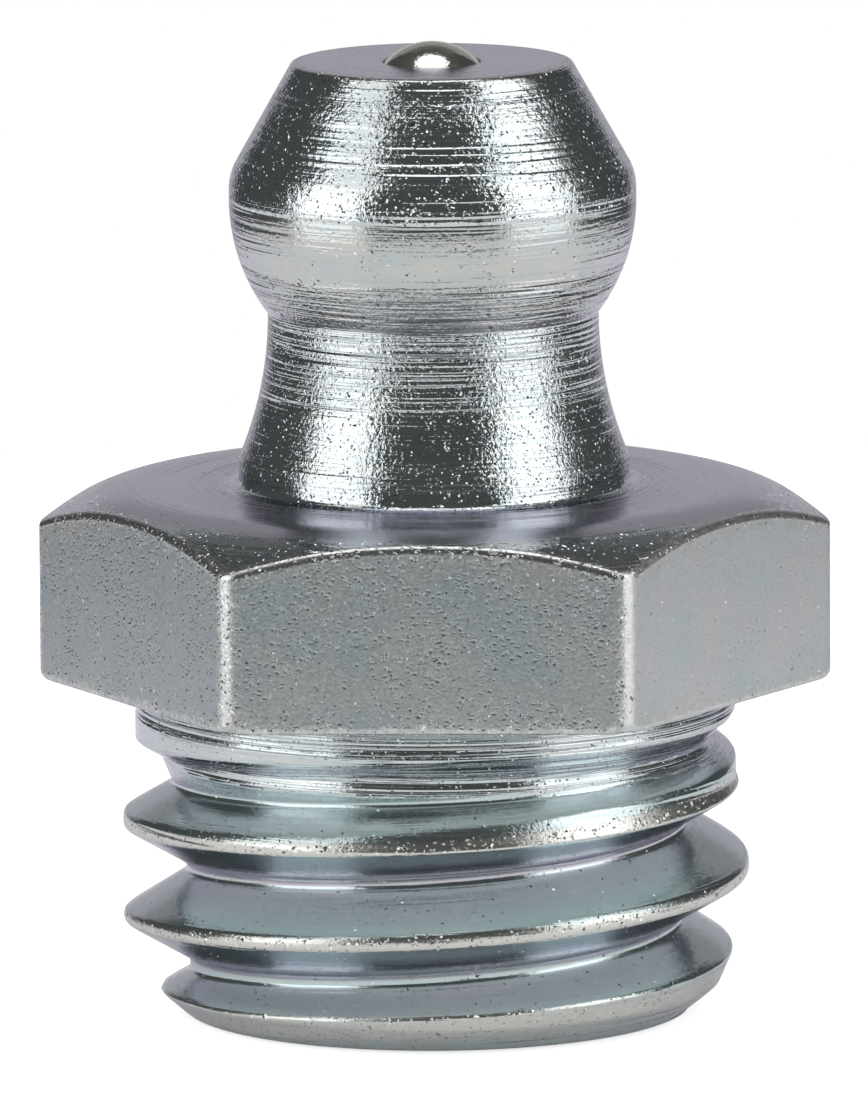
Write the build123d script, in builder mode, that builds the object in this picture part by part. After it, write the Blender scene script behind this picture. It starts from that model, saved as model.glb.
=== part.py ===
from build123d import *
import math
import os

# A straight cone-type grease nipple, turned from hexagon bar, with the spring-loaded
# check ball that closes its inlet. It stands on its thread end, with the head up.
# All sizes are millimetres.

# --- body: main sizes ------------------------------------------------------------------

shank_length = 5.25            # thread end to the seat under the hexagon
hex_thickness = 3.14           # seat to the top of the hexagon, at the neck
head_rise = 6.66               # top of the hexagon to the flat top of the head

# --- hexagon ---------------------------------------------------------------------------

hex_across_flats = 10.9        # an 11 mm spanner fits it
hex_corner_radius = 0.4        # rounding of the six long edges, from the drawn bar
hex_chamfer_angle = 30.0       # of the top and bottom chamfers, below the flat
hex_chamfer_radius = 5.22      # where the top chamfer starts
hex_chamfer_blend = 2.2        # radius that joins the top to its chamfer
hex_crown_fall = 0.05          # the top falls this much from the neck to its chamfer
hex_foot_radius = 6.12         # where the small bottom chamfer starts

# --- head and neck ---------------------------------------------------------------------

head_radius = 3.2              # widest part, which the coupler's jaws grip
head_top_radius = 2.2          # flat top of the head
head_top_edge = 0.09           # rounding of its edge
head_cone_length = 1.77        # height of the cone under the flat top
head_shoulder = 0.9            # rounding between the cone and the band
head_band = 0.39               # cylindrical band under the cone
undercut_depth = 1.8           # height of the round underside of the head
neck_radius = 2.6              # thinnest part, right under the head
neck_foot_radius = 3.07        # the neck flares out to this
neck_foot_height = 0.4         # straight foot of the neck

# --- collar under the hexagon ----------------------------------------------------------

collar_step = 0.2              # the collar is this much smaller than the crests, in radius
collar_height = 0.52
collar_chamfer_height = 0.33
collar_chamfer_step = 0.22     # how far that chamfer goes in

# --- thread, M10 x 1.5, right-hand -----------------------------------------------------

thread_radius = 4.94           # crest radius of the full thread
thread_pitch = 1.5
thread_depth = 0.9             # crest to root
thread_root_flat = 0.2         # width of the groove at its root
thread_groove_angle = 60.0     # between its two flanks
thread_offset = 2.2            # groove's centre below the seat, on the +X side
runout_angle = 25.4            # of the cone on which the last groove gets shallower, to the axis
crest_start = 1.55             # depth below the seat where the crests begin to grow
crest_growth = 0.4             # length over which they reach their full radius
lead_length = 1.05             # the first crests taper slightly over this length
lead_step = 0.47               # and go in by this much, down to the end chamfer
end_chamfer_height = 0.43
end_chamfer_step = 0.5         # how far that chamfer goes in
end_edge = 0.1                 # rounding of the end face's rim
lead_blend = 0.5               # rounding between the end chamfer and the taper
cut_clearance = 0.1            # the groove is cut from this far outside the crests

# --- bore, ball seat and the rim that holds the spring in ------------------------------

ball_radius = 1.0
inlet_radius = 0.77            # hole in the flat top, closed by the ball
inlet_lip = 0.03               # thickness of its edge
seat_half_angle = 38.0         # of the conical ball seat
seat_gap = 0.01                # between the resting ball and its seat
bore_radius = 1.15
outlet_radius = 0.66           # hole left by the rim that is rolled in at the thread end
outlet_rim = 0.32              # thickness of that rim

# --- spring ----------------------------------------------------------------------------

spring_wire = 0.25
spring_wire_sides = 6          # the round wire is drawn as a prism, to keep the spring light
spring_radius = 0.84           # centre line of the wire
spring_turns = 8
spring_gap = 0.01              # between the spring and what it touches

# --- heights and radii worked out from them --------------------------------------------

seat_z = shank_length
crown_z = seat_z + hex_thickness
top_z = crown_z + head_rise
head_cone_z = top_z - head_cone_length
band_z = head_cone_z - head_band
neck_top_z = band_z - undercut_depth
neck_foot_z = crown_z + neck_foot_height
collar_z = seat_z - collar_height
runout_z = collar_z - collar_chamfer_height
thread_root_radius = thread_radius - thread_depth
lead_radius = thread_radius - lead_step
end_radius = lead_radius - end_chamfer_step
collar_radius = thread_radius - collar_step
runout_radius = collar_radius - collar_chamfer_step
within_root = thread_root_radius - cut_clearance
runout_foot_z = runout_z - (runout_radius - within_root) / math.tan(math.radians(runout_angle))
crest_top_z = seat_z - crest_start
crest_full_z = crest_top_z - crest_growth
lead_z = end_chamfer_height + lead_length

hex_corner = hex_across_flats / 2 / math.cos(math.radians(30))
beyond_hex = hex_corner + hex_corner_radius
chamfer_slope = math.tan(math.radians(hex_chamfer_angle))
top_chamfer_z = crown_z - hex_crown_fall - chamfer_slope * (beyond_hex - hex_chamfer_radius)
foot_chamfer_z = seat_z + chamfer_slope * (beyond_hex - hex_foot_radius)

seat_angle = math.radians(seat_half_angle)
seat_top_z = top_z - inlet_lip
seat_foot_z = seat_top_z - (bore_radius - inlet_radius) / math.tan(seat_angle)
ball_drop = (ball_radius + seat_gap - inlet_radius * math.cos(seat_angle)) / math.sin(seat_angle)
ball_z = seat_top_z - ball_drop

coil_reach = ball_radius + spring_wire / 2 + spring_gap
spring_top_z = ball_z - math.sqrt(coil_reach**2 - spring_radius**2)
spring_foot_z = outlet_rim + spring_wire / 2 + spring_gap

# --- one turn of the thread groove -------------------------------------------------------

flank_slope = math.tan(math.radians(thread_groove_angle / 2))
groove_depth = thread_depth + cut_clearance
groove_mouth = thread_root_flat + 2 * flank_slope * groove_depth

with BuildPart() as groove_turn:
    with BuildLine() as turn_path:
        Helix(thread_pitch, thread_pitch, thread_root_radius)
    with BuildSketch(Plane(turn_path.line @ 0, x_dir=(1, 0, 0), z_dir=turn_path.line % 0)):
        with BuildLine():
            Polyline(
                (0, -thread_root_flat / 2),
                (groove_depth, -groove_mouth / 2),
                (groove_depth, groove_mouth / 2),
                (0, thread_root_flat / 2),
                close=True,
            )
        make_face()
    sweep(path=turn_path.line, is_frenet=True)

# --- hexagon, chamfered above and below --------------------------------------------------

with BuildPart() as hexagon:
    with BuildSketch(Plane.XY.offset(seat_z)) as hexagon_outline:
        RegularPolygon(hex_across_flats / 2, 6, major_radius=False)
        fillet(hexagon_outline.vertices(), hex_corner_radius)
    extrude(amount=hex_thickness)
    with BuildSketch(Plane.XZ) as hexagon_profile:
        with BuildLine():
            Polyline(
                (0, seat_z),
                (hex_foot_radius, seat_z),
                (beyond_hex, foot_chamfer_z),
                (beyond_hex, top_chamfer_z),
                (hex_chamfer_radius, crown_z - hex_crown_fall),
                (neck_foot_radius, crown_z),
                (0, crown_z),
                close=True,
            )
        make_face()
        fillet(
            hexagon_profile.vertices().sort_by_distance((hex_chamfer_radius, crown_z))[0],
            hex_chamfer_blend,
        )
    revolve(axis=Axis.Z, mode=Mode.INTERSECT)

# --- nipple body: everything is turned from the one bar ----------------------------------

with BuildPart() as nipple_body:
    # shank, with its crests still plain
    with BuildSketch(Plane.XZ) as shank_section:
        with BuildLine():
            Polyline(
                (0, 0),
                (end_radius, 0),
                (lead_radius, end_chamfer_height),
                (thread_radius, lead_z),
                (thread_radius, crest_full_z),
                (collar_radius, crest_top_z),
                (collar_radius, collar_z),
                (0, collar_z),
                close=True,
            )
        make_face()
        fillet(shank_section.vertices().sort_by_distance((end_radius, 0))[0], end_edge)
        fillet(
            shank_section.vertices().sort_by_distance((lead_radius, end_chamfer_height))[0],
            lead_blend,
        )
    revolve(axis=Axis.Z)

    # thread, cut turn by turn from below the end face up to the collar
    offset_z = seat_z - thread_offset
    first_turn_z = offset_z - thread_pitch * math.ceil((offset_z + groove_mouth / 2) / thread_pitch)
    turn_count = math.ceil((collar_z - first_turn_z) / thread_pitch)
    with Locations([(0, 0, first_turn_z + turn * thread_pitch) for turn in range(turn_count)]):
        add(groove_turn.part, mode=Mode.SUBTRACT)

    # collar and the cone on which the last groove runs out
    with BuildSketch(Plane.XZ):
        with BuildLine():
            Polyline(
                (0, runout_foot_z),
                (within_root, runout_foot_z),
                (runout_radius, runout_z),
                (collar_radius, collar_z),
                (collar_radius, seat_z),
                (0, seat_z),
                close=True,
            )
        make_face()
    revolve(axis=Axis.Z)

    add(hexagon.part)

    # head and neck
    with BuildSketch(Plane.XZ) as head_section:
        with BuildLine():
            Polyline(
                (0, crown_z - hex_crown_fall),
                (0, top_z),
                (head_top_radius, top_z),
                (head_radius, head_cone_z),
                (head_radius, band_z),
            )
            TangentArc((head_radius, band_z), (neck_radius, neck_top_z), tangent=(0, -1))
            TangentArc((neck_radius, neck_top_z), (neck_foot_radius, neck_foot_z), tangent=(0, -1))
            Polyline(
                (neck_foot_radius, neck_foot_z),
                (neck_foot_radius, crown_z - hex_crown_fall),
                (0, crown_z - hex_crown_fall),
            )
        make_face()
        fillet(
            head_section.vertices().sort_by_distance((head_radius, head_cone_z))[0],
            head_shoulder,
        )
        fillet(
            head_section.vertices().sort_by_distance((head_top_radius, top_z))[0],
            head_top_edge,
        )
    revolve(axis=Axis.Z)

    # stepped bore: ball seat at the top, rolled-in rim at the thread end
    with BuildSketch(Plane.XZ) as bore_section:
        with BuildLine():
            Polyline(
                (0, 0),
                (outlet_radius, 0),
                (outlet_radius, outlet_rim),
                (bore_radius, outlet_rim),
                (bore_radius, seat_foot_z),
                (inlet_radius, seat_top_z),
                (inlet_radius, top_z),
                (0, top_z),
                close=True,
            )
        make_face()
    revolve(axis=Axis.Z, mode=Mode.SUBTRACT)

# --- check ball --------------------------------------------------------------------------

with BuildPart(Plane.XY.offset(ball_z)) as check_ball:
    Sphere(ball_radius)

# --- spring: an open helix, its ends cut square -----------------------------------------

spring_length = spring_top_z - spring_foot_z

with BuildPart() as ball_spring:
    with BuildLine() as spring_path:
        Helix(
            spring_length / spring_turns,
            spring_length,
            spring_radius,
            center=(0, 0, spring_foot_z),
        )
    with BuildSketch(Plane(spring_path.line @ 0, x_dir=(1, 0, 0), z_dir=spring_path.line % 0)):
        RegularPolygon(spring_wire / 2, spring_wire_sides)
    sweep(path=spring_path.line, is_frenet=True)

os.makedirs("parts", exist_ok=True)
nipple_body.part.label = "nipple_body"
check_ball.part.label = "check_ball"
ball_spring.part.label = "ball_spring"
export_step(nipple_body.part, "parts/nipple_body.step")
export_step(check_ball.part, "parts/check_ball.step")
export_step(ball_spring.part, "parts/ball_spring.step")
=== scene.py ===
import math

import bpy
import numpy as np
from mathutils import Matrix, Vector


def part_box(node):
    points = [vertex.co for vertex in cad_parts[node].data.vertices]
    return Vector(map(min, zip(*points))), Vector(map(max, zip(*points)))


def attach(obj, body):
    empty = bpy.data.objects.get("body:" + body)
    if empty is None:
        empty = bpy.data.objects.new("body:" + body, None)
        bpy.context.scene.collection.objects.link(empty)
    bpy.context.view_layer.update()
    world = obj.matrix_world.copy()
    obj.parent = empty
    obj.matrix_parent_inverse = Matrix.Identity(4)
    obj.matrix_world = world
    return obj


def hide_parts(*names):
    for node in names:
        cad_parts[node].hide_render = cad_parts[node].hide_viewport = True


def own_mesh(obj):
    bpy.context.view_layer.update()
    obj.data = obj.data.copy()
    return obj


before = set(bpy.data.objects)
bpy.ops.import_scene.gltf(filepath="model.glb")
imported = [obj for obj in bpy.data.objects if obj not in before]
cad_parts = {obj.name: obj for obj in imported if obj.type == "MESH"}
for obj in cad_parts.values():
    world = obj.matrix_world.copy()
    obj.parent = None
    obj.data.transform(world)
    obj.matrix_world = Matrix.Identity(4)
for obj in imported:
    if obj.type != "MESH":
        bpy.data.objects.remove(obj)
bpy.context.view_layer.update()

# ======================================================================================
# Nipple body. One length of hexagon bar, turned to the grease head, neck, collar and
# thread and bored through, then zinc-plated and clear-passivated. Its edges are rubbed.
# ======================================================================================

mm = 0.001
top_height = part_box("nipple_body")[1].z / mm
seat_height = 5.25              # the seat under the hexagon
hex_height = 3.14
crown_height = seat_height + hex_height
hex_flat = 5.45                 # axis to each flat of the hexagon
hex_corner_radius = 0.4
chamfer_angle = math.radians(30)

# --- the columns of the mesh: degrees round the axis, closer together at the hexagon's edges

corner_fan = [-2.6, -2.1, -1.85, -1.4, -0.9, -0.3, 0.3, 0.9, 1.4, 1.85, 2.1, 2.6]
flat_fan = np.linspace(3.4, 56.6, 43)
sector = np.concatenate([corner_fan, flat_fan])
around = np.radians(np.concatenate([sector + 60 * side for side in range(6)]))
around = np.sort(np.mod(around, 2 * math.pi))
columns = len(around)


def hexagon_radius(angle):
    """Distance from the axis to the hexagon's outline, with its rounded edges."""
    from_corner = np.mod(angle + math.pi / 6, math.pi / 3) - math.pi / 6
    rounding_centre = (hex_flat - hex_corner_radius) / math.cos(math.pi / 6)
    tangent = math.atan2(
        hex_corner_radius * math.sin(math.pi / 6),
        rounding_centre + hex_corner_radius * math.cos(math.pi / 6),
    )
    across = rounding_centre * np.sin(from_corner)
    on_rounding = rounding_centre * np.cos(from_corner) + np.sqrt(
        np.maximum(hex_corner_radius**2 - across**2, 0)
    )
    on_flat = hex_flat / np.cos(math.pi / 6 - np.abs(from_corner))
    return np.where(np.abs(from_corner) < tangent, on_rounding, on_flat)


# --- outlines in the half-plane through the axis: points are (radius, height)

def straight(start, end, longest):
    """Points from start up to end, which is left out, no further apart than longest."""
    count = max(1, math.ceil(math.dist(start, end) / longest))
    return [tuple(np.array(start) + (np.array(end) - start) * k / count) for k in range(count)]


def arc(centre, start, end, steps):
    """Points on the arc round centre from start to end, both included."""
    a = math.atan2(start[1] - centre[1], start[0] - centre[0])
    b = math.atan2(end[1] - centre[1], end[0] - centre[0])
    b = a + (b - a + math.pi) % (2 * math.pi) - math.pi
    size = math.dist(centre, start)
    return [
        (centre[0] + size * math.cos(a + (b - a) * k / steps),
         centre[1] + size * math.sin(a + (b - a) * k / steps))
        for k in range(steps + 1)
    ]


def rounded_corner(before, corner, after, radius, steps):
    """Points of the arc that rounds the corner between two straight sides."""
    corner = np.array(corner, float)
    one = np.array(before) - corner
    two = np.array(after) - corner
    one /= np.linalg.norm(one)
    two /= np.linalg.norm(two)
    half = math.acos(np.clip(one @ two, -1, 1)) / 2
    centre = corner + (one + two) / np.linalg.norm(one + two) * radius / math.sin(half)
    setback = radius / math.tan(half)
    return arc(tuple(centre), tuple(corner + one * setback), tuple(corner + two * setback), steps)


# --- grease head and neck

inlet_radius = 0.77
inlet_lip = 0.03                # height of the inlet's edge, above the ball seat
inlet_rounding = 0.02
bore_radius = 1.15
ball_seat_height = 14.5336      # where the conical ball seat meets the bore
head_top_radius = 2.2
head_top_rounding = 0.09
head_radius = 3.2
head_cone_start = (2.32, top_height - 0.2124)      # on the cone, under the rounded top edge
head_cone_height = top_height - 1.77
coarse_lines = (14.33, 14.66)   # the cone has coarser lines between these heights
head_shoulder_rounding = 0.9
band_start = (head_radius, 12.96)
band_height = head_cone_height - 0.39
undercut_radius = 3.0
undercut_smooth_from = 11.9
neck_top_height = band_height - 1.8
neck_radius = 2.6
neck_curve_radius = 5.863
neck_coarse_from = 9.9
neck_foot_radius = 3.07
neck_foot_height = crown_height + 0.4
neck_foot_rounding = 0.12

# one number per material of the body, in the order in which they are made further on
TURNED, SATIN, BAR, SMOOTH_PAINTED_LIT_BAR, COLLAR, THREAD, FORMED, ROLLED = range(8)

# Each row holds radius, height, edge wear (0 for fresh zinc to 1 for rubbed bright), the
# strength of its tool marks, and the finish of the strip below it.
rows = []


def add_rows(points, wear=0.0, marks=1.0, finish=TURNED):
    """Adds one row of the mesh for each point. Each value may also differ round the axis."""
    for radius, height in points:
        rows.append((
            np.broadcast_to(radius, columns),
            np.broadcast_to(height, columns),
            np.broadcast_to(wear, columns),
            np.broadcast_to(marks, columns),
            finish,
        ))


top = (head_top_radius, top_height)
shoulder = (head_radius, head_cone_height)
band = (head_radius, band_height)
neck_top = (neck_radius, neck_top_height)
neck_foot = (neck_foot_radius, neck_foot_height)
neck_corner = (neck_foot_radius, crown_height)

add_rows([(bore_radius, ball_seat_height)], finish=SATIN)
add_rows([(inlet_radius, top_height - inlet_lip)], finish=SATIN)
inlet_edge = rounded_corner((inlet_radius, 0), (inlet_radius, top_height), top, inlet_rounding, 3)
add_rows(inlet_edge, wear=0.4, marks=0.3, finish=SATIN)
face = straight((0.9, top_height), (head_top_radius - 0.16, top_height), 0.2)
add_rows(face, marks=0.3, finish=SATIN)
top_edge = rounded_corner((0, top_height), top, shoulder, head_top_rounding, 5)
add_rows(top_edge, wear=0.5, marks=0.5, finish=TURNED)
shoulder_curve = rounded_corner(top, shoulder, band, head_shoulder_rounding, 9)
for radius, height in straight(head_cone_start, shoulder_curve[0], 0.11):
    marks = 1.6 if coarse_lines[0] < height < coarse_lines[1] else 0.8
    add_rows([(radius, height)], marks=marks, finish=ROLLED)
add_rows(shoulder_curve, marks=0.9, finish=ROLLED)
add_rows(straight(band_start, band, 0.1), marks=1.3, finish=ROLLED)
undercut_centre = (head_radius - undercut_radius, band_height)
undercut = arc(undercut_centre, band, neck_top, 16)
for radius, height in undercut[:-1]:
    marks = 0.5 if height > undercut_smooth_from else 1.7
    add_rows([(radius, height)], marks=marks, finish=FORMED)
add_rows([(neck_radius + 0.012, neck_top_height + 0.02)], marks=1.0, finish=TURNED)
neck_centre = (neck_radius + neck_curve_radius, neck_top_height)
for radius, height in arc(neck_centre, neck_top, neck_foot, 18):
    marks = 2.8 if height > neck_coarse_from else 1.9
    add_rows([(radius, height)], marks=marks, finish=TURNED)
foot_curve = rounded_corner(neck_foot, neck_corner, (5, crown_height), neck_foot_rounding, 4)
add_rows(foot_curve, marks=0.8, finish=TURNED)

# --- hexagon: the crown falls a little, and then its chamfer cuts the corners off

crown_fall = 0.05               # from the neck to the chamfer
crown_edge = 5.22               # where the chamfer starts
crown_blend = 2.2               # radius that joins the crown to its chamfer
crown_round = 5.0               # up to this radius the crown's rows are round
edge_rounding = 0.075           # of the rims over and under the flats
foot_chamfer_start = 6.12
seat_inner = 5.05               # the seat ends here, at the collar
rim_shares = (0.0, 0.33, 0.67, 1.0)


def crown_at(radius):
    """Height of the hexagon's turned top at a distance from the axis."""
    fall = math.atan(crown_fall / (crown_edge - neck_foot_radius))
    half_turn = (chamfer_angle - fall) / 2
    setback = crown_blend * math.tan(half_turn)
    start = crown_edge - setback * math.cos(fall)
    start_height = crown_height - (start - neck_foot_radius) * math.tan(fall)
    centre = start - crown_blend * math.sin(fall)
    centre_height = start_height - crown_blend * math.cos(fall)
    end = centre + crown_blend * math.sin(chamfer_angle)
    end_height = centre_height + crown_blend * math.cos(chamfer_angle)
    on_arc = centre_height + np.sqrt(np.maximum(crown_blend**2 - (radius - centre) ** 2, 0))
    flat = crown_height - (radius - neck_foot_radius) * math.tan(fall)
    chamfer = end_height - (radius - end) * math.tan(chamfer_angle)
    return np.where(radius < start, flat, np.where(radius < end, on_arc, chamfer))


def foot_at(radius):
    """Height of the hexagon's underside, with its small chamfer, at a distance from the axis."""
    return seat_height + np.maximum(radius - foot_chamfer_start, 0) * math.tan(chamfer_angle)


def curve(start, middle, end, share):
    """The curve that leaves start towards middle and reaches end from there."""
    return (1 - share) ** 2 * start + 2 * share * (1 - share) * middle + share**2 * end


outline = hexagon_radius(around)
inside = outline - edge_rounding
crown_rim = crown_at(outline)
foot_rim = foot_at(outline)
flat_top = crown_rim - edge_rounding
flat_foot = foot_rim + edge_rounding
from_corner = np.mod(around + math.pi / 6, math.pi / 3) - math.pi / 6
corner_wear = 0.65 * np.exp(-((from_corner / 0.027) ** 2))
corner_wear = corner_wear + 0.12 * np.exp(-((from_corner / 0.09) ** 2))

# the bar's surface is rougher on some of its six flats than on others
flat_number = (np.degrees(around) // 60).astype(int)
flat_marks = np.array([0.7, 0.5, 0.3, 0.35, 1.0, 0.3])[flat_number]

for radius in (3.4, 3.8, 4.2, 4.5, 4.7, 4.9):
    marks = np.interp(radius, [3.4, 4.2, 4.9], [3.0, 1.0, 0.3])
    add_rows([(radius, crown_at(radius))], marks=marks, finish=SATIN)
for share in (0.3, 0.55, 0.75, 0.9):
    radius = crown_round + (inside - crown_round) * share
    add_rows([(radius, crown_at(radius))], wear=0.35 * share**6, marks=0.25, finish=SATIN)
for share in rim_shares:
    radius = curve(inside, outline, outline, share)
    height = curve(crown_at(inside), crown_rim, flat_top, share)
    add_rows([(radius, height)], wear=0.6, marks=1.3, finish=BAR)
for share in (0.012, 0.06, 0.2, 0.36, 0.52, 0.68, 0.84, 0.94, 0.988):
    rim_wear = np.interp(min(share, 1 - share), [0.0, 0.04, 0.2, 0.4], [0.5, 0.25, 0.12, 0.0])
    height = flat_top + (flat_foot - flat_top) * share
    add_rows([(outline, height)], np.maximum(corner_wear, rim_wear), flat_marks, BAR)
for share in rim_shares:
    radius = curve(outline, outline, inside, share)
    height = curve(flat_foot, foot_rim, foot_at(inside), share)
    add_rows([(radius, height)], wear=0.5, marks=0.3, finish=BAR)
seat_middle = inside + (seat_inner - inside) * 0.5
add_rows([(seat_middle, seat_height), (seat_inner, seat_height)], marks=0.5, finish=COLLAR)

# --- collar, and the shank down to the end face: the plain outline that the thread is cut in

collar_length = 0.52
collar_radius = 4.74
collar_taper = 0.08                  # the collar is this much smaller at the seat, in radius
collar_rounding = 0.05
collar_marks = 1.6
thread_radius = 4.94
thread_pitch = 1.5
flank_slope = math.tan(math.pi / 6)  # of each side of the groove, whose angle is 60 degrees
root_radius = thread_radius - 0.9
root_flat = 0.2
root_extra = 0.06                    # the die cuts this much deeper than the plain groove
root_rounding = 0.02
end_extra = 0.15                     # and this much more at the thread's end
crest_rounding_above = 0.045
crest_rounding_below = 0.03
groove_height = seat_height - 2.2    # middle of the groove on the +X side
lead_radius = 4.47                   # of the first crest, over the end chamfer
end_radius = 3.97
end_height = 0.05                    # the helical rows start here, over the end face's rim
thread_top = 4.80                    # and stop here, on the collar

collar_height = seat_height - collar_length
taper_at_thread_top = collar_taper * (thread_top - collar_height) / collar_length
collar_at_thread_top = collar_radius - taper_at_thread_top
runout_heights = [3.0, 4.1, 4.33, collar_height, thread_top]
runout_radii = [3.9, 4.34, 4.29, collar_radius, collar_at_thread_top]
runout_rounding = 0.008
shank_heights = [0.0, 0.43, 1.48, 3.3, 3.7, collar_height, thread_top]
shank_radii = [
    end_radius, lead_radius, thread_radius, thread_radius,
    collar_radius, collar_radius, collar_at_thread_top,
]

collar_top = (collar_radius - collar_taper, seat_height)
below_rounding = (collar_radius - 0.063, 5.14)
seat_corner = rounded_corner(
    (seat_inner, seat_height), collar_top, (collar_top[0], 0), collar_rounding, 3
)
add_rows(seat_corner, marks=collar_marks, finish=COLLAR)
collar_side = straight(below_rounding, (collar_at_thread_top, thread_top), 0.1)
add_rows(collar_side, marks=collar_marks, finish=COLLAR)
add_rows([(collar_at_thread_top, thread_top)], marks=collar_marks, finish=COLLAR)


def lower_of(one, two, softness):
    """The lower of two surfaces, with the edge between them rounded."""
    gap = np.clip((two - one) / softness, -60, 60)
    return one - softness * np.log1p(np.exp(-gap))


def shank_radius(height):
    """The shank's outline: end chamfer, tapered lead, crests, and the plain length above."""
    return np.interp(height, shank_heights, shank_radii)


def thread_surface(height, angle):
    """Radius of the threaded shank: the shank, its groove, and the run-out cone and collar.

    The die cuts the groove a little deeper and wider towards the thread's end.
    """
    rise = height - groove_height - thread_pitch * angle / (2 * math.pi)
    from_middle = np.mod(rise + thread_pitch / 2, thread_pitch) - thread_pitch / 2
    late = np.interp(height, [0.7, 2.7], [end_extra, 0.0])
    upper_side = root_radius + (from_middle - root_flat / 2) / flank_slope
    lower_side = root_radius - (from_middle + root_flat / 2 + late) / flank_slope
    sides = np.maximum(upper_side, lower_side)
    groove = -lower_of(-sides, root_extra + late - root_radius, root_rounding)
    core = np.interp(height, runout_heights, runout_radii)
    core = lower_of(core, np.full_like(core, collar_radius + 0.004), runout_rounding)
    crest_rounding = np.where(from_middle > 0, crest_rounding_below, crest_rounding_above)
    cut = lower_of(shank_radius(height), groove, crest_rounding)
    return -lower_of(-cut, -core, runout_rounding)


# --- the rows that follow the helix: each turn has the same steps from root to crest and back

half_steps = np.array([
    0, 0.06, 0.1, 0.14, 0.2, 0.27, 0.34, 0.41,
    0.47, 0.52, 0.56, 0.595, 0.62, 0.645, 0.68, 0.715,
])
turn_steps = np.concatenate([half_steps, [thread_pitch / 2], thread_pitch - half_steps[:0:-1]])
turns_down = math.ceil((groove_height - end_height + thread_pitch) / thread_pitch)
turns_up = math.ceil((collar_height - groove_height) / thread_pitch) + 1
helix_heights = np.concatenate([
    groove_height + turn * thread_pitch + turn_steps for turn in range(-turns_down, turns_up)
])
rows_per_turn = len(turn_steps)

snap = 0.004                    # points nearer than this to the first or last row join it
helix = helix_heights[:, None] + thread_pitch * around[None, :] / (2 * math.pi)
helix = np.clip(helix, end_height, thread_top)
helix[helix < end_height + snap] = end_height
helix[helix > thread_top - snap] = thread_top
helix_radius = thread_surface(helix, around[None, :])

# crests are rubbed, and the bottom of the groove keeps a deeper colour
no_crest_above = 3.9
crest_depth = 0.08              # points this near to the plain outline are on a crest
above_root = np.mod(helix_heights - groove_height, thread_pitch)
above_crest = above_root - thread_pitch / 2
crest_wear = np.interp(above_crest, [-0.2, -0.13, 0.0, 0.07, 0.16], [0.0, 1.0, 0.95, 0.35, 0.0])
groove_tint = np.interp(
    above_root, [0.0, 0.25, 0.45, 1.44, thread_pitch], [1.0, 0.8, 0.0, 0.0, 0.7]
)
end_wear = np.interp(helix, [0.0, 0.3, 0.6, 0.9], [0.25, 0.5, 0.85, 0.0])
runout_marks = np.interp(
    helix, [4.0, 4.12, 4.36, 4.44, 4.6, 4.7], [0.15, 1.2, 1.2, 0.4, 0.4, 1.4]
)

# --- one closed skin: plain rows above, the helical rows, plain rows below and up the bore

vertices = []
wear_values = []
marks_values = []
groove_values = []
faces = []
finishes = []


def add_vertex(radius, angle, height, wear, marks, groove):
    """Adds one point of the skin, with the values that its finish goes by."""
    vertices.append((radius * math.cos(angle), radius * math.sin(angle), height))
    wear_values.append(wear)
    marks_values.append(marks)
    groove_values.append(groove)


def add_ring(row):
    """Adds a row's vertices and returns their numbers."""
    radius, height, wear, marks, _ = row
    first = len(vertices)
    for j in range(columns):
        add_vertex(radius[j], around[j], height[j], wear[j], marks[j], 0.0)
    return np.arange(first, first + columns)


def join_rings(rings, strip_finishes):
    """Closes the strips between rings that follow each other with faces."""
    for upper, lower, finish in zip(rings, rings[1:], strip_finishes):
        for j in range(columns):
            k = (j + 1) % columns
            faces.append((upper[j], lower[j], lower[k], upper[k]))
            finishes.append(finish)


upper_rings = [add_ring(row) for row in rows]
join_rings(upper_rings, [row[4] for row in rows])
top_ring = upper_rings[-1]

rows = []
end_outline = thread_surface(np.full(columns, end_height), around)
add_rows([(end_outline, end_height)], wear=0.3, marks=0.5, finish=THREAD)
end_ring = add_ring(rows[0])

numbers = np.empty(helix.shape, int)
for i in range(len(helix_heights)):
    for j in range(columns):
        height = helix[i, j]
        if height <= end_height:
            numbers[i, j] = end_ring[j]
        elif height >= thread_top:
            numbers[i, j] = top_ring[j]
        else:
            numbers[i, j] = len(vertices)
            radius = helix_radius[i, j]
            if height < no_crest_above and radius > shank_radius(height) - crest_depth:
                wear = max(crest_wear[i], end_wear[i, j])
                add_vertex(radius, around[j], height, wear, 1.0, 0.0)
            else:
                tint = groove_tint[i] if height < no_crest_above else 0.0
                add_vertex(radius, around[j], height, 0.0, runout_marks[i, j], tint)

# the last column joins the first one turn higher, and points that were snapped drop out
collar_from = 4.05              # faces over this height have the collar's finish
last_row = len(helix_heights) - 1
for i in range(last_row):
    for j in range(columns):
        if j + 1 < columns:
            corners = (numbers[i + 1, j], numbers[i, j], numbers[i, j + 1], numbers[i + 1, j + 1])
        else:
            lower = numbers[min(i + rows_per_turn, last_row), 0]
            upper = numbers[min(i + 1 + rows_per_turn, last_row), 0]
            corners = (numbers[i + 1, j], numbers[i, j], lower, upper)
        distinct = [c for n, c in enumerate(corners) if c != corners[n - 1]]
        if len(distinct) > 2:
            faces.append(tuple(distinct))
            lowest = min(vertices[c][2] for c in distinct)
            finishes.append(COLLAR if lowest > collar_from else THREAD)

# --- end face, the rim that is rolled in to hold the spring, and the bore

outlet_radius = 0.66
outlet_rim = 0.32

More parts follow.
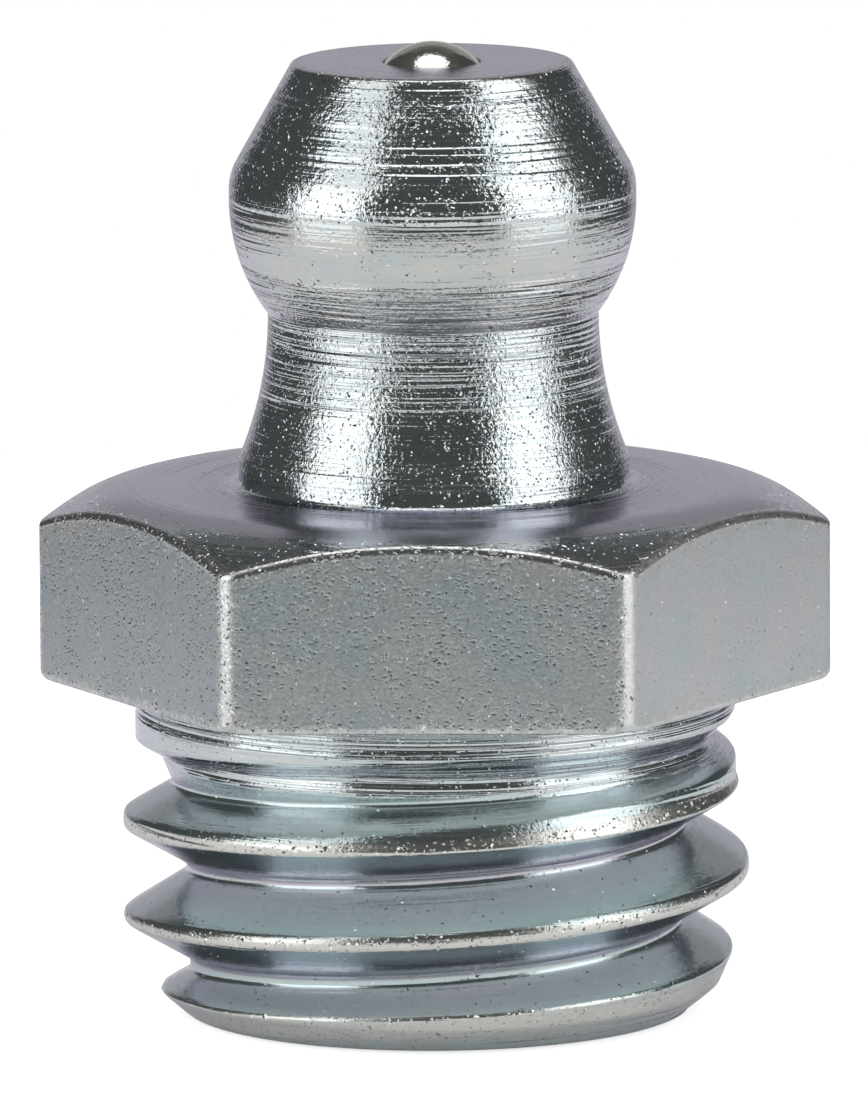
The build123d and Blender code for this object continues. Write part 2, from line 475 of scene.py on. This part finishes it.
end_rim = [(3.985, 0.018), (3.95, 0.004), (3.88, 0.0)]
outlet_edge = [(0.74, 0), (0.69, 0.012), (outlet_radius, 0.04)]
bore = [(bore_radius, 5), (bore_radius, 10)]
add_rows(end_rim, wear=0.5, marks=0.5, finish=THREAD)
add_rows(straight((3.6, 0), (0.8, 0), 0.5), marks=0.6, finish=SATIN)
add_rows(outlet_edge, wear=0.4, marks=0.3, finish=SATIN)
add_rows([(outlet_radius, outlet_rim), (bore_radius, outlet_rim)] + bore, marks=0.3, finish=SATIN)
lower_rings = [end_ring] + [add_ring(row) for row in rows[1:]] + [upper_rings[0]]
join_rings(lower_rings, [row[4] for row in rows])

# two of the flats came smoother from the bar and are painted lighter, a painted light on the right
# front flat; the chamfered corners are left as turned
smooth_painted_lit_flats = (2, 5)
chamfer_from = 5.3
for number, corners in enumerate(faces):
    x, y, _ = np.mean([vertices[corner] for corner in corners], axis=0)
    if finishes[number] == BAR and int(math.degrees(math.atan2(y, x)) % 360 // 60) in smooth_painted_lit_flats:
        finishes[number] = SMOOTH_PAINTED_LIT_BAR
    if finishes[number] == SATIN and math.hypot(x, y) > chamfer_from:
        finishes[number] = TURNED


def add_object(name, data):
    """Makes an object of a mesh, lamp or camera, and puts it in the scene."""
    made = bpy.data.objects.new(name, data)
    bpy.context.scene.collection.objects.link(made)
    return made


body_mesh = bpy.data.meshes.new("turned_body")
body_mesh.from_pydata([(x * mm, y * mm, z * mm) for x, y, z in vertices], [], faces)
body_mesh.polygons.foreach_set("material_index", finishes)
body_mesh.polygons.foreach_set("use_smooth", [True] * len(faces))
point_values = {"edge_wear": wear_values, "tool_marks": marks_values, "in_groove": groove_values}
for name, values in point_values.items():
    stored = body_mesh.attributes.new(name, "FLOAT", "POINT")
    stored.data.foreach_set("value", np.array(values, np.float32))
body_mesh.validate()
body_mesh.update()
body = add_object("turned_body", body_mesh)

# --- finish: zinc over turned steel


def set_inputs(tree, made, inputs):
    """Sets or links a node's inputs, by name or, as in_0, in_1 and so on, by number."""
    for name, value in inputs.items():
        socket = made.inputs[int(name[3:]) if name.startswith("in_") else name.replace("_", " ")]
        if isinstance(value, bpy.types.NodeSocket):
            tree.links.new(value, socket)
        else:
            socket.default_value = value


def add_node(tree, kind, settings=None, **inputs):
    """Adds a shader node, with its own settings and its inputs."""
    made = tree.nodes.new(kind)
    for name, value in (settings or {}).items():
        setattr(made, name, value)
    set_inputs(tree, made, inputs)
    return made


def calculate(tree, operation, one, two=0.0, three=0.0):
    """A Math node's result."""
    settings = {"operation": operation}
    return add_node(tree, "ShaderNodeMath", settings, in_0=one, in_1=two, in_2=three).outputs[0]


def vector(tree, operation, one, **others):
    """A Vector Math node's result."""
    settings = {"operation": operation}
    return add_node(tree, "ShaderNodeVectorMath", settings, in_0=one, **others).outputs[0]


def noise(tree, place, scale, detail, roughness=0.5):
    """A Noise node's value."""
    made = add_node(
        tree, "ShaderNodeTexNoise", Vector=place, Scale=scale, Detail=detail, Roughness=roughness
    )
    return made.outputs[0]


def stretch(tree, value, low, high, to_low=0.0, to_high=1.0):
    """Brings the range from low to high to another range, and stops at its ends."""
    made = add_node(
        tree, "ShaderNodeMapRange", Value=value,
        From_Min=low, From_Max=high, To_Min=to_low, To_Max=to_high,
    )
    return made.outputs[0]


def mix(tree, share, one, two):
    """A mix of two colours."""
    settings = {"data_type": "RGBA"}
    return add_node(tree, "ShaderNodeMix", settings, in_0=share, in_6=one, in_7=two).outputs[2]


def point_value(tree, name):
    """A value that the mesh holds at its points."""
    return add_node(tree, "ShaderNodeAttribute", {"attribute_name": name}).outputs["Fac"]


def place_in_mm(tree):
    """The place on the piece, in millimetres."""
    place = add_node(tree, "ShaderNodeTexCoord").outputs["Object"]
    return vector(tree, "SCALE", place, Scale=1 / mm)


def new_group(name, inputs, outputs):
    """An empty node group with named inputs and outputs."""
    group = bpy.data.node_groups.new(name, "ShaderNodeTree")
    for label, kind, value in inputs:
        socket = group.interface.new_socket(label, in_out="INPUT", socket_type=kind)
        socket.default_value = value
    for label, kind in outputs:
        group.interface.new_socket(label, in_out="OUTPUT", socket_type=kind)
    given = group.nodes.new("NodeGroupInput").outputs
    result = group.nodes.new("NodeGroupOutput").inputs
    return group, given, result


def place_group(tree, group, **inputs):
    """Puts a node group into a material with its own values, and returns its outputs."""
    made = tree.nodes.new("ShaderNodeGroup")
    made.node_tree = group
    set_inputs(tree, made, inputs)
    return made.outputs


# Turning lines: rings round the axis, close and uneven, as a tool leaves them.
turning, given, result = new_group(
    "turning_lines",
    [("Lines per mm", "NodeSocketFloat", 12.0), ("Length", "NodeSocketFloat", 0.5)],
    [("Fine", "NodeSocketFloat"), ("Deep", "NodeSocketFloat"), ("Bands", "NodeSocketFloat")],
)
axes = add_node(turning, "ShaderNodeSeparateXYZ", in_0=place_in_mm(turning)).outputs
x_squared = calculate(turning, "MULTIPLY", axes[0], axes[0])
y_squared = calculate(turning, "MULTIPLY", axes[1], axes[1])
out_from_axis = calculate(turning, "SQRT", calculate(turning, "ADD", x_squared, y_squared))


def ring_noise(lines, length, detail, roughness):
    """Noise that is close-set along the axis and outwards, and drawn out round the axis."""
    ring = add_node(
        turning, "ShaderNodeCombineXYZ",
        X=calculate(turning, "MULTIPLY", axes[0], length),
        Y=calculate(turning, "MULTIPLY", axes[1], length),
        Z=calculate(turning, "MULTIPLY", out_from_axis, lines),
    ).outputs[0]
    return add_node(
        turning, "ShaderNodeTexNoise", {"noise_dimensions": "4D"},
        Vector=ring, W=calculate(turning, "MULTIPLY", axes[2], lines),
        Scale=1.0, Detail=detail, Roughness=roughness,
    ).outputs[0]


fine = ring_noise(given["Lines per mm"], given["Length"], 1.0, 0.5)
fewer_lines = calculate(turning, "MULTIPLY", given["Lines per mm"], 0.45)
longer = calculate(turning, "MULTIPLY", given["Length"], 0.6)
deep = stretch(turning, ring_noise(fewer_lines, longer, 1.0, 0.5), 0.52, 0.68)
patches = stretch(turning, ring_noise(1.1, 0.25, 1.0, 0.5), 0.40, 0.60)
bands = stretch(turning, ring_noise(5.0, 0.5, 4.0, 0.7), 0.38, 0.62)
turning.links.new(fine, result["Fine"])
turning.links.new(calculate(turning, "MULTIPLY", deep, patches), result["Deep"])
turning.links.new(bands, result["Bands"])

# Pits: small round dents that come and go over the surface, and a fine grain.
pits, given, result = new_group(
    "plating_pits",
    [("Grains per mm", "NodeSocketFloat", 20.0), ("Share", "NodeSocketFloat", 0.3)],
    [("Grain", "NodeSocketFloat"), ("Pits", "NodeSocketFloat")],
)
place = place_in_mm(pits)
grain = noise(pits, place, given["Grains per mm"], 2.0, 0.6)
stray = add_node(pits, "ShaderNodeTexNoise", Vector=place, Scale=5.0, Detail=1.0).outputs["Color"]
strayed = vector(pits, "MULTIPLY_ADD", stray, in_1=(0.12, 0.12, 0.12), in_2=place)
flattened = vector(pits, "MULTIPLY", strayed, in_1=(1, 1, 1.4))
dents_per_mm = calculate(pits, "MULTIPLY", given["Grains per mm"], 0.5)
dent = add_node(pits, "ShaderNodeTexVoronoi", Vector=flattened, Scale=dents_per_mm).outputs
crowd = stretch(pits, noise(pits, place, 1.6, 3.0), 0.40, 0.60, 0.0, 2.0)
draw = add_node(pits, "ShaderNodeSeparateXYZ", in_0=dent["Color"]).outputs
chosen = calculate(pits, "LESS_THAN", draw[0], calculate(pits, "MULTIPLY", given["Share"], crowd))
depth = calculate(pits, "MULTIPLY", chosen, calculate(pits, "ADD", draw[1], 0.3))
round_dent = add_node(
    pits, "ShaderNodeMapRange", {"interpolation_type": "SMOOTHSTEP"},
    Value=dent["Distance"], From_Min=0.42, From_Max=0.0,
).outputs[0]
pits.links.new(grain, result["Grain"])
pits.links.new(calculate(pits, "MULTIPLY", depth, round_dent), result["Pits"])

# Crystals: a share of the zinc's tiny facets tips away from the surface, each its own way.
crystals, given, result = new_group(
    "zinc_crystals",
    [
        ("Normal", "NodeSocketVector", (0.0, 0.0, 1.0)),
        ("Crystals per mm", "NodeSocketFloat", 30.0),
        ("Tilt", "NodeSocketFloat", 0.4),
        ("Share", "NodeSocketFloat", 0.1),
    ],
    [("Normal", "NodeSocketVector")],
)
place = place_in_mm(crystals)
facet = add_node(crystals, "ShaderNodeTexVoronoi", Vector=place, Scale=given["Crystals per mm"])
facet = facet.outputs["Color"]
tip = vector(crystals, "MULTIPLY_ADD", facet, in_1=(2, 2, 2), in_2=(-1, -1, -1))
draw = add_node(crystals, "ShaderNodeSeparateXYZ", in_0=facet).outputs[0]
draw = calculate(crystals, "FRACT", calculate(crystals, "MULTIPLY", draw, 37.7))
crowd = stretch(crystals, noise(crystals, place, 2.5, 2.0, 0.6), 0.38, 0.62, 0.3, 1.7)
share = calculate(crystals, "MULTIPLY", given["Share"], crowd)
chosen = calculate(crystals, "ADD", calculate(crystals, "LESS_THAN", draw, share), 0.06)
tip = vector(crystals, "SCALE", tip, Scale=calculate(crystals, "MULTIPLY", given["Tilt"], chosen))
tipped = vector(crystals, "ADD", given["Normal"], in_1=tip)
crystals.links.new(vector(crystals, "NORMALIZE", tipped), result["Normal"])

# Rubbed edges: the zinc is worn bright where the piece is handled, with a dull haze round it.
rubbed, given, result = new_group(
    "rubbed_edges",
    [("Breakup", "NodeSocketFloat", 0.5)],
    [("Rubbed", "NodeSocketFloat"), ("Haze", "NodeSocketFloat")],
)
place = add_node(rubbed, "ShaderNodeTexCoord").outputs["Object"]
place = vector(rubbed, "MULTIPLY", place, in_1=(1 / mm, 1 / mm, 1.5 / mm))
edge = point_value(rubbed, "edge_wear")
broken = calculate(rubbed, "SUBTRACT", noise(rubbed, place, 8.0, 4.0, 0.75), 0.5)
broken = calculate(rubbed, "MULTIPLY", broken, given["Breakup"])
worn = stretch(rubbed, calculate(rubbed, "ADD", edge, broken), 0.3, 0.8)
uneven = calculate(rubbed, "SUBTRACT", noise(rubbed, place, 1.6, 4.0, 0.65), 0.5)
uneven = calculate(rubbed, "MULTIPLY", uneven, 1.2)
haze = stretch(rubbed, calculate(rubbed, "ADD", edge, uneven), 0.14, 0.6, 0.0, 0.45)
near_edge = calculate(rubbed, "MINIMUM", 1.0, calculate(rubbed, "MULTIPLY", edge, 12.0))
rubbed.links.new(worn, result["Rubbed"])
rubbed.links.new(calculate(rubbed, "MULTIPLY", haze, near_edge), result["Haze"])

low_angle_tint = (0.80, 0.78, 0.86, 1)
haze_colour = (0.485, 0.48, 0.46, 1)
# painted shade: the next two values darken the colour inside the pits, where shade falls in the
# dents
pit_shade_colour = (0.16, 0.17, 0.17, 1)
painted_pit_shade = 0.6
rubbed_facets = 0.18            # rubbing tips this much more of the zinc's facets


def zinc_finish(name, shades, sheen, roughness, lines, pitting, facets, breakup=0.9):
    """Zinc plating over a tool's marks.

    shades: plain, second, rubbed and deep-groove colour. sheen: colour seen at a low angle,
    and how soon. roughness: of the zinc, and what rubbing adds to it.
    lines: number per mm, length, fine depth, deep depth. pitting: grains per mm, share,
    grain depth, pit depth. facets: crystals per mm, their tilt, and the share that tips.
    breakup: how uneven the rubbed edges are.
    """
    material = bpy.data.materials.new(name)
    material.use_nodes = True
    tree = material.node_tree
    surface = tree.nodes["Principled BSDF"]
    surface.inputs["Metallic"].default_value = 1.0
    surface.inputs["Specular Tint"].default_value = low_angle_tint
    plain, second, rubbed_shade, groove_shade = shades
    low_shade, how_soon = sheen
    lines_per_mm, line_length, fine_depth, deep_depth = lines
    grains_per_mm, pit_share, grain_depth, pit_depth = pitting
    crystals_per_mm, tilt, tipped_share = facets
    turned = place_group(tree, turning, Lines_per_mm=lines_per_mm, Length=line_length)
    plated = place_group(tree, pits, Grains_per_mm=grains_per_mm, Share=pit_share)
    handled = place_group(tree, rubbed, Breakup=breakup)
    marks = point_value(tree, "tool_marks")

    place = add_node(tree, "ShaderNodeTexCoord").outputs["Object"]
    clouds = stretch(tree, noise(tree, place, 0.7 / mm, 4.0, 0.65), 0.38, 0.62)
    if fine_depth:
        clouds = calculate(tree, "MULTIPLY", calculate(tree, "ADD", clouds, turned["Bands"]), 0.5)
    low_angle = add_node(tree, "ShaderNodeLayerWeight", Blend=how_soon).outputs["Facing"]
    # painted shade: the colour is darkened inside the pits
    pit_shade = calculate(tree, "MULTIPLY", plated["Pits"], marks)
    pit_shade = calculate(tree, "MULTIPLY", pit_shade, painted_pit_shade)
    colour = mix(tree, clouds, plain, second)
    colour = mix(tree, low_angle, colour, low_shade)
    colour = mix(tree, point_value(tree, "in_groove"), colour, groove_shade)
    colour = mix(tree, handled["Haze"], colour, haze_colour)
    colour = mix(tree, handled["Rubbed"], colour, rubbed_shade)
    colour = mix(tree, pit_shade, colour, pit_shade_colour)
    tree.links.new(colour, surface.inputs["Base Color"])

    added = calculate(tree, "MULTIPLY", handled["Rubbed"], roughness[1])
    rough = calculate(tree, "ADD", roughness[0], added)
    tree.links.new(rough, surface.inputs["Roughness"])

    height = calculate(tree, "MULTIPLY", turned["Fine"], fine_depth)
    deep_lines = calculate(tree, "MULTIPLY", turned["Deep"], deep_depth)
    height = calculate(tree, "SUBTRACT", height, deep_lines)
    dents = calculate(tree, "MULTIPLY", plated["Pits"], pit_depth)
    height = calculate(tree, "SUBTRACT", height, dents)
    grain = calculate(tree, "MULTIPLY", plated["Grain"], grain_depth)
    height = calculate(tree, "ADD", height, grain)
    height = calculate(tree, "MULTIPLY", height, marks)
    bump = add_node(tree, "ShaderNodeBump", Height=height, Strength=1.0, Distance=mm).outputs[0]
    tipped = calculate(tree, "MULTIPLY", handled["Rubbed"], rubbed_facets)
    tipped = calculate(tree, "ADD", tipped_share, tipped)
    faceted = place_group(
        tree, crystals, Normal=bump, Crystals_per_mm=crystals_per_mm, Tilt=tilt, Share=tipped
    )
    tree.links.new(faceted["Normal"], surface.inputs["Normal"])
    return material


bright = (0.67, 0.70, 0.70, 1)
cyan = (0.55, 0.61, 0.62, 1)
teal = (0.50, 0.615, 0.615, 1)
light_teal = (0.59, 0.665, 0.665, 1)
formed_blue = (0.48, 0.54, 0.55, 1)
formed_pale = (0.60, 0.59, 0.55, 1)
lavender = (0.60, 0.60, 0.66, 1)
violet = (0.57, 0.575, 0.60, 1)
groove_grey = (0.55, 0.525, 0.575, 1)
blue_grey = (0.60, 0.64, 0.67, 1)
dull = (0.435, 0.46, 0.455, 1)
dull_blue = (0.39, 0.44, 0.455, 1)
# painted light: lighter shades of the bar finish, for the two flats that are painted lighter
light = (0.65, 0.64, 0.65, 1)
light_blue = (0.58, 0.645, 0.645, 1)
rubbed_white = (0.66, 0.67, 0.66, 1)
rubbed_beige = (0.66, 0.66, 0.63, 1)

body_finishes = [
    zinc_finish(
        "zinc_on_turned_steel", (bright, cyan, rubbed_white, violet),
        sheen=(lavender, 0.15), roughness=(0.09, 0.15), lines=(20, 0.30, 0.012, 0.016),
        pitting=(14, 0.0, 0.006, 0.0), facets=(36, 0.6, 0.08),
    ),
    zinc_finish(
        "zinc_on_faced_steel", (lavender, blue_grey, rubbed_white, violet),
        sheen=(lavender, 0.15), roughness=(0.20, 0.1), lines=(20, 0.35, 0.007, 0.010),
        pitting=(20, 0.02, 0.002, 0.004), facets=(30, 0.3, 0.01),
    ),
    zinc_finish(
        "zinc_on_drawn_bar", (dull, dull_blue, rubbed_white, violet),
        sheen=(lavender, 0.1), roughness=(0.34, -0.15), lines=(8, 0.5, 0.0, 0.0),
        pitting=(18, 0.65, 0.003, 0.020), facets=(30, 0.45, 0.02), breakup=1.8,
    ),
    # painted light: the bar finish again with lighter shades, on the right front flat and the one
    # opposite it
    zinc_finish(
        "zinc_on_smooth_bar_painted_lit", (light, light_blue, rubbed_white, violet),
        sheen=(lavender, 0.1), roughness=(0.42, -0.15), lines=(8, 0.5, 0.0, 0.0),
        pitting=(24, 0.15, 0.003, 0.010), facets=(30, 0.3, 0.004), breakup=1.8,
    ),
    zinc_finish(
        "zinc_on_collar", (bright, cyan, rubbed_white, violet),
        sheen=(lavender, 0.2), roughness=(0.11, 0.15), lines=(18, 0.15, 0.030, 0.020),
        pitting=(20, 0.05, 0.002, 0.004), facets=(34, 0.4, 0.05),
    ),
    zinc_finish(
        "zinc_on_thread", (teal, light_teal, rubbed_beige, groove_grey),
        sheen=(violet, 0.12), roughness=(0.18, 0.08), lines=(20, 0.35, 0.008, 0.010),
        pitting=(20, 0.15, 0.004, 0.008), facets=(30, 0.4, 0.015), breakup=1.3,
    ),
    zinc_finish(
        "zinc_on_formed_steel", (formed_blue, formed_pale, rubbed_white, violet),
        sheen=(lavender, 0.25), roughness=(0.20, 0.1), lines=(20, 0.6, 0.020, 0.024),
        pitting=(14, 0.2, 0.013, 0.016), facets=(34, 0.3, 0.02),
    ),
    zinc_finish(
        "zinc_on_rolled_head", (bright, cyan, rubbed_white, violet),
        sheen=(lavender, 0.15), roughness=(0.10, 0.15), lines=(20, 0.30, 0.010, 0.014),
        pitting=(12, 0.15, 0.011, 0.008), facets=(36, 0.6, 0.08),
    ),
]
for finish in body_finishes:
    body_mesh.materials.append(finish)

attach(body, "nipple")
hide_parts("nipple_body")

# ======================================================================================
# Check ball. A hardened ball-bearing ball, polished, pressed up into the conical seat
# by the spring, so that its top stands out of the head.
# ======================================================================================

low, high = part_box("check_ball")
ball_radius = (high.x - low.x) / 2
ball_middle = (low + high) / 2
ball_sides = 72
ball_rings = 48

ball_points = [(ball_middle.x, ball_middle.y, ball_middle.z + ball_radius)]
for ring in range(1, ball_rings):
    down = math.pi * ring / ball_rings
    for side in range(ball_sides):
        a = 2 * math.pi * side / ball_sides
        ball_points.append((
            ball_middle.x + ball_radius * math.sin(down) * math.cos(a),
            ball_middle.y + ball_radius * math.sin(down) * math.sin(a),
            ball_middle.z + ball_radius * math.cos(down),
        ))
ball_points.append((ball_middle.x, ball_middle.y, ball_middle.z - ball_radius))
last_point = len(ball_points) - 1
last_ring = last_point - ball_sides
ball_faces = []
for side in range(ball_sides):
    beside = (side + 1) % ball_sides
    ball_faces.append((0, 1 + side, 1 + beside))
    for here in range(1, last_ring, ball_sides):
        under = here + ball_sides
        ball_faces.append((here + side, under + side, under + beside, here + beside))
    ball_faces.append((last_ring + side, last_point, last_ring + beside))
ball_mesh = bpy.data.meshes.new("ball")
ball_mesh.from_pydata(ball_points, [], ball_faces)
ball_mesh.polygons.foreach_set("use_smooth", [True] * len(ball_mesh.polygons))
ball = add_object("ball", ball_mesh)


def bare_metal(name, smears_per_mm, detail, shades, roughness):
    """Bare metal with a film on it. Returns the material and its place on the piece."""
    material = bpy.data.materials.new(name)
    material.use_nodes = True
    tree = material.node_tree
    surface = tree.nodes["Principled BSDF"]
    surface.inputs["Metallic"].default_value = 1.0
    place = add_node(tree, "ShaderNodeTexCoord").outputs["Object"]
    smear = noise(tree, place, smears_per_mm / mm, detail)
    tree.links.new(mix(tree, smear, *shades), surface.inputs["Base Color"])
    rough = stretch(tree, smear, 0.0, 1.0, *roughness)
    tree.links.new(rough, surface.inputs["Roughness"])
    return material, place


ball_finish, place = bare_metal(
    "polished_ball", 6.0, 4.0, ((0.56, 0.55, 0.51, 1), (0.72, 0.71, 0.67, 1)), (0.06, 0.18)
)
tree = ball_finish.node_tree
grain = noise(tree, place, 22 / mm, 1.0)
dents = add_node(tree, "ShaderNodeBump", Height=grain, Strength=1.0, Distance=0.003 * mm)
tree.links.new(dents.outputs[0], tree.nodes["Principled BSDF"].inputs["Normal"])
ball_mesh.materials.append(ball_finish)

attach(ball, "ball")
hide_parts("check_ball")

# ======================================================================================
# Spring. Round spring-steel wire, wound to an open coil. It stands on the rim that is
# rolled in at the thread end, and holds the ball up.
# ======================================================================================

spring_radius = 0.84
spring_wire = 0.25
spring_turns = 8
spring_foot = 0.455
spring_length = 13.147
wire_sides = 12
steps_per_turn = 36
wire_steps = spring_turns * steps_per_turn

wire_points = []
lean = math.atan(spring_length / spring_turns / (2 * math.pi * spring_radius))
for step in range(wire_steps + 1):
    turn = 2 * math.pi * step / steps_per_turn
    height = spring_foot + spring_length * step / wire_steps
    for side in range(wire_sides):
        a = 2 * math.pi * side / wire_sides
        out = spring_radius + spring_wire / 2 * math.cos(a)
        along = -spring_wire / 2 * math.sin(a) * math.sin(lean)
        wire_points.append((
            (out * math.cos(turn) - along * math.sin(turn)) * mm,
            (out * math.sin(turn) + along * math.cos(turn)) * mm,
            (height + spring_wire / 2 * math.sin(a) * math.cos(lean)) * mm,
        ))
wire_faces = []
for step in range(wire_steps):
    here = step * wire_sides
    ahead = here + wire_sides
    for side in range(wire_sides):
        beside = (side + 1) % wire_sides
        wire_faces.append((here + side, ahead + side, ahead + beside, here + beside))
far_end = wire_steps * wire_sides
wire_faces.append(tuple(range(wire_sides)))
wire_faces.append(tuple(reversed(range(far_end, far_end + wire_sides))))
spring_mesh = bpy.data.meshes.new("coil_spring")
spring_mesh.from_pydata(wire_points, [], wire_faces)
spring_mesh.polygons.foreach_set("use_smooth", [len(face) == 4 for face in wire_faces])
spring = add_object("coil_spring", spring_mesh)

spring_finish, place = bare_metal(
    "oiled_spring_wire", 2.0, 3.0, ((0.30, 0.29, 0.28, 1), (0.48, 0.47, 0.45, 1)), (0.25, 0.4)
)
spring_mesh.materials.append(spring_finish)

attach(spring, "nipple")
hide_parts("ball_spring")
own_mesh(spring)

# ======================================================================================
# Studio. A pale table top with a soft lamp on each side and a small one overhead. Grey
# cards in front and behind give turned metal its dark stripes.
# ======================================================================================

table_radius = 57 * mm
table_height = -0.02 * mm       # just clear of the nipple's flat end
table_sides = 96
table_seen = 0.65               # glow that the eye sees, so that the table looks white
table_mirrored = 0.09           # and that the metal mirrors


def emitter(name, colour, strength):
    """A plain glowing finish, for cards that only reflections see."""
    material = bpy.data.materials.new(name)
    material.use_nodes = True
    tree = material.node_tree
    tree.nodes.clear()
    glow = add_node(tree, "ShaderNodeEmission", Color=colour, Strength=strength)
    add_node(tree, "ShaderNodeOutputMaterial", Surface=glow.outputs[0])
    return material


table_finish = bpy.data.materials.new("table_white")
table_finish.use_nodes = True
tree = table_finish.node_tree
tree.nodes.clear()
matt = add_node(tree, "ShaderNodeBsdfDiffuse", Color=(0.8, 0.8, 0.8, 1))
rays = add_node(tree, "ShaderNodeLightPath").outputs
seen = calculate(tree, "MULTIPLY", rays["Is Camera Ray"], table_seen)
mirrored = calculate(tree, "MULTIPLY", rays["Is Glossy Ray"], table_mirrored)
lift = calculate(tree, "ADD", seen, mirrored)
white = add_node(tree, "ShaderNodeEmission", Color=(1, 1, 1, 1), Strength=lift)
both = add_node(tree, "ShaderNodeAddShader", in_0=matt.outputs[0], in_1=white.outputs[0])
add_node(tree, "ShaderNodeOutputMaterial", Surface=both.outputs[0])

table_mesh = bpy.data.meshes.new("table_top")
rim = [
    (table_radius * math.cos(a), table_radius * math.sin(a), table_height)
    for a in np.linspace(0, 2 * math.pi, table_sides, endpoint=False)
]
table_mesh.from_pydata(rim, [], [tuple(range(table_sides))])
table = add_object("table_top", table_mesh)
table_mesh.materials.append(table_finish)

card_distance = 0.4
card_foot = -0.3
card_top = 0.9
card_parts = 8
ceiling_reach = 0.6
ceiling_height = 0.5


def place_card(name, points, faces, finish):
    """Puts up a card that only reflections see."""
    mesh = bpy.data.meshes.new(name)
    mesh.from_pydata(points, [], faces)
    mesh.materials.append(finish)
    card = add_object(name, mesh)
    card.visible_camera = False
    card.visible_diffuse = False
    card.visible_shadow = False


def add_card(name, from_angle, to_angle, low, high, finish):
    """A standing card that reaches between two angles, measured from the front towards +X."""
    turns = np.linspace(math.radians(from_angle), math.radians(to_angle), card_parts + 1)
    foot = [(math.sin(turn) * card_distance, -math.cos(turn) * card_distance) for turn in turns]
    points = [(x, y, low) for x, y in foot] + [(x, y, high) for x, y in foot]
    above = card_parts + 1
    parts = [(i, i + 1, i + 1 + above, i + above) for i in range(card_parts)]
    place_card(name, points, parts, finish)


grey_card = emitter("grey_card", (0.94, 1.0, 0.97, 1), 0.085)
add_card("card_front", -38, 44, card_foot, card_top, grey_card)
add_card("card_left", -152, -86, card_foot, card_top, grey_card)
add_card("card_right", 91, 152, card_foot, card_top, grey_card)
add_card("card_back", 152, 208, 0.11, 0.31, emitter("back_card", (1, 1, 1, 1), 0.36))
upper_back = emitter("upper_back_card", (1, 1, 1, 1), 0.16)
add_card("card_back_upper", 152, 208, 0.31, card_top, upper_back)
ceiling = [
    (x * ceiling_reach, y * ceiling_reach, ceiling_height)
    for x, y in ((-1, -1), (1, -1), (1, 1), (-1, 1))
]
place_card("card_ceiling", ceiling, [(0, 1, 2, 3)], emitter("ceiling_card", (1, 1, 1, 1), 0.10))


def add_lamp(name, angle, half_angle, low, high, distance, radiance):
    """A soft box at an angle from the front, facing the nipple."""
    lamp = bpy.data.lights.new(name, "AREA")
    lamp.shape = "RECTANGLE"
    lamp.size = 2 * distance * math.tan(math.radians(half_angle))
    lamp.size_y = high - low
    lamp.energy = radiance * math.pi * lamp.size * lamp.size_y
    holder = add_object(name, lamp)
    turn = math.radians(angle)
    holder.location = (math.sin(turn) * distance, -math.cos(turn) * distance, (low + high) / 2)
    holder.rotation_euler = (math.pi / 2, 0, turn)
    holder.visible_camera = False
    return holder


add_lamp("softbox_left", -60, 22, -0.13, 0.48, distance=0.28, radiance=1.1)
add_lamp("softbox_left_upper", -60, 22, 0.07, 0.54, distance=0.28, radiance=0.55)
add_lamp("softbox_right", 65.5, 21.5, -0.13, 0.48, distance=0.28, radiance=1.05)
add_lamp("softbox_right_upper", 74, 27, 0.12, 0.54, distance=0.27, radiance=0.45)
overhead = add_lamp("softbox_top", 0, 21, -0.1, 0.1, distance=0.30, radiance=1.4)
overhead.data.shape = "ELLIPSE"
overhead.location = (0, 0.01, 0.30)
overhead.rotation_euler = (0, 0, 0)

room = 0.57                     # brightness of the room in reflections. The eye sees white
world = bpy.data.worlds.new("studio_world")
bpy.context.scene.world = world
world.use_nodes = True
tree = world.node_tree
background = tree.nodes["Background"].inputs
background["Color"].default_value = (1, 1, 1, 1)
seen = add_node(tree, "ShaderNodeLightPath").outputs["Is Camera Ray"]
seen = calculate(tree, "MULTIPLY", seen, 1 - room)
tree.links.new(calculate(tree, "ADD", seen, room), background["Strength"])

# ======================================================================================
# Camera. A long lens a little above the nipple, that looks almost straight at one flat
# and fills the frame with the piece.
# ======================================================================================

camera_distance = 0.3
camera_rise = math.radians(9.167)
camera_turn = math.radians(1.48)
camera_roll = math.radians(-0.33)
aim = (-0.033 * mm, 0, 7.307 * mm)

camera_data = bpy.data.cameras.new("camera")
camera_data.sensor_fit = "HORIZONTAL"
camera_data.sensor_width = 36
camera_data.lens = 792.8
camera_data.clip_start = 0.01
camera = add_object("camera", camera_data)
level = camera_distance * math.cos(camera_rise)
camera.location = (
    aim[0] + level * math.sin(camera_turn),
    aim[1] - level * math.cos(camera_turn),
    aim[2] + camera_distance * math.sin(camera_rise),
)
camera.rotation_euler = (math.pi / 2 - camera_rise, 0, camera_turn)
camera.rotation_euler.rotate_axis("Z", camera_roll)
bpy.context.scene.camera = camera
bpy.context.scene.view_settings.view_transform = "Standard"
